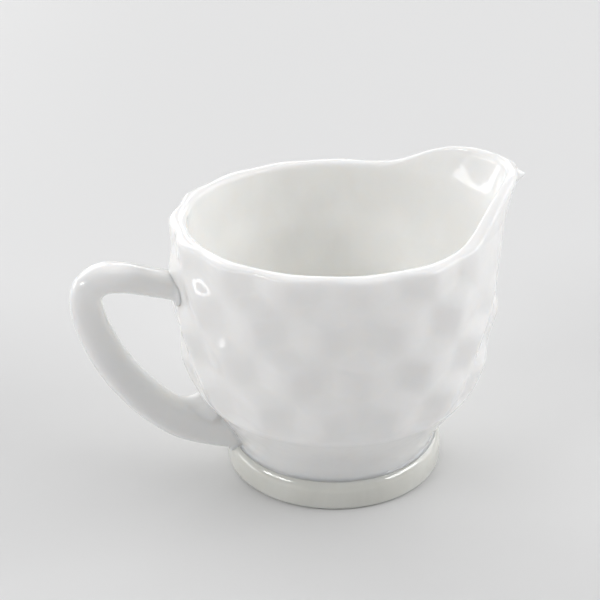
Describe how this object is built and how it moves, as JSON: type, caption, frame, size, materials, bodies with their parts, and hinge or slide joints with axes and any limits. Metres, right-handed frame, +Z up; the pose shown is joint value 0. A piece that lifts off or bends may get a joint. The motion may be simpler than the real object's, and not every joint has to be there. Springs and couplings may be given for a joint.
{
  "type": "cream jug",
  "caption": "Small footed cream jug in pressed white opal glass, with a stacked-cube relief, a raised pouring spout, a loop handle and a plain round foot.",
  "frame": {"origin": "centre of the foot's underside, on the surface that the jug stands on", "axes": "+Z up, +X towards the spout, the handle on the -X side"},
  "size_m": [0.1021, 0.0732, 0.0684],
  "materials": {
    "opal_glass": "glossy, opaque white, fire-polished",
    "opal_glass_foot": "glossy, opaque white, slightly greyer where the glass is solid"
  },
  "bodies": {
    "root": {"foot": "opal_glass_foot", "lower_bowl": "opal_glass", "cube_wall": "opal_glass", "spout": "opal_glass", "handle": "opal_glass"}
  },
  "joints": []
}
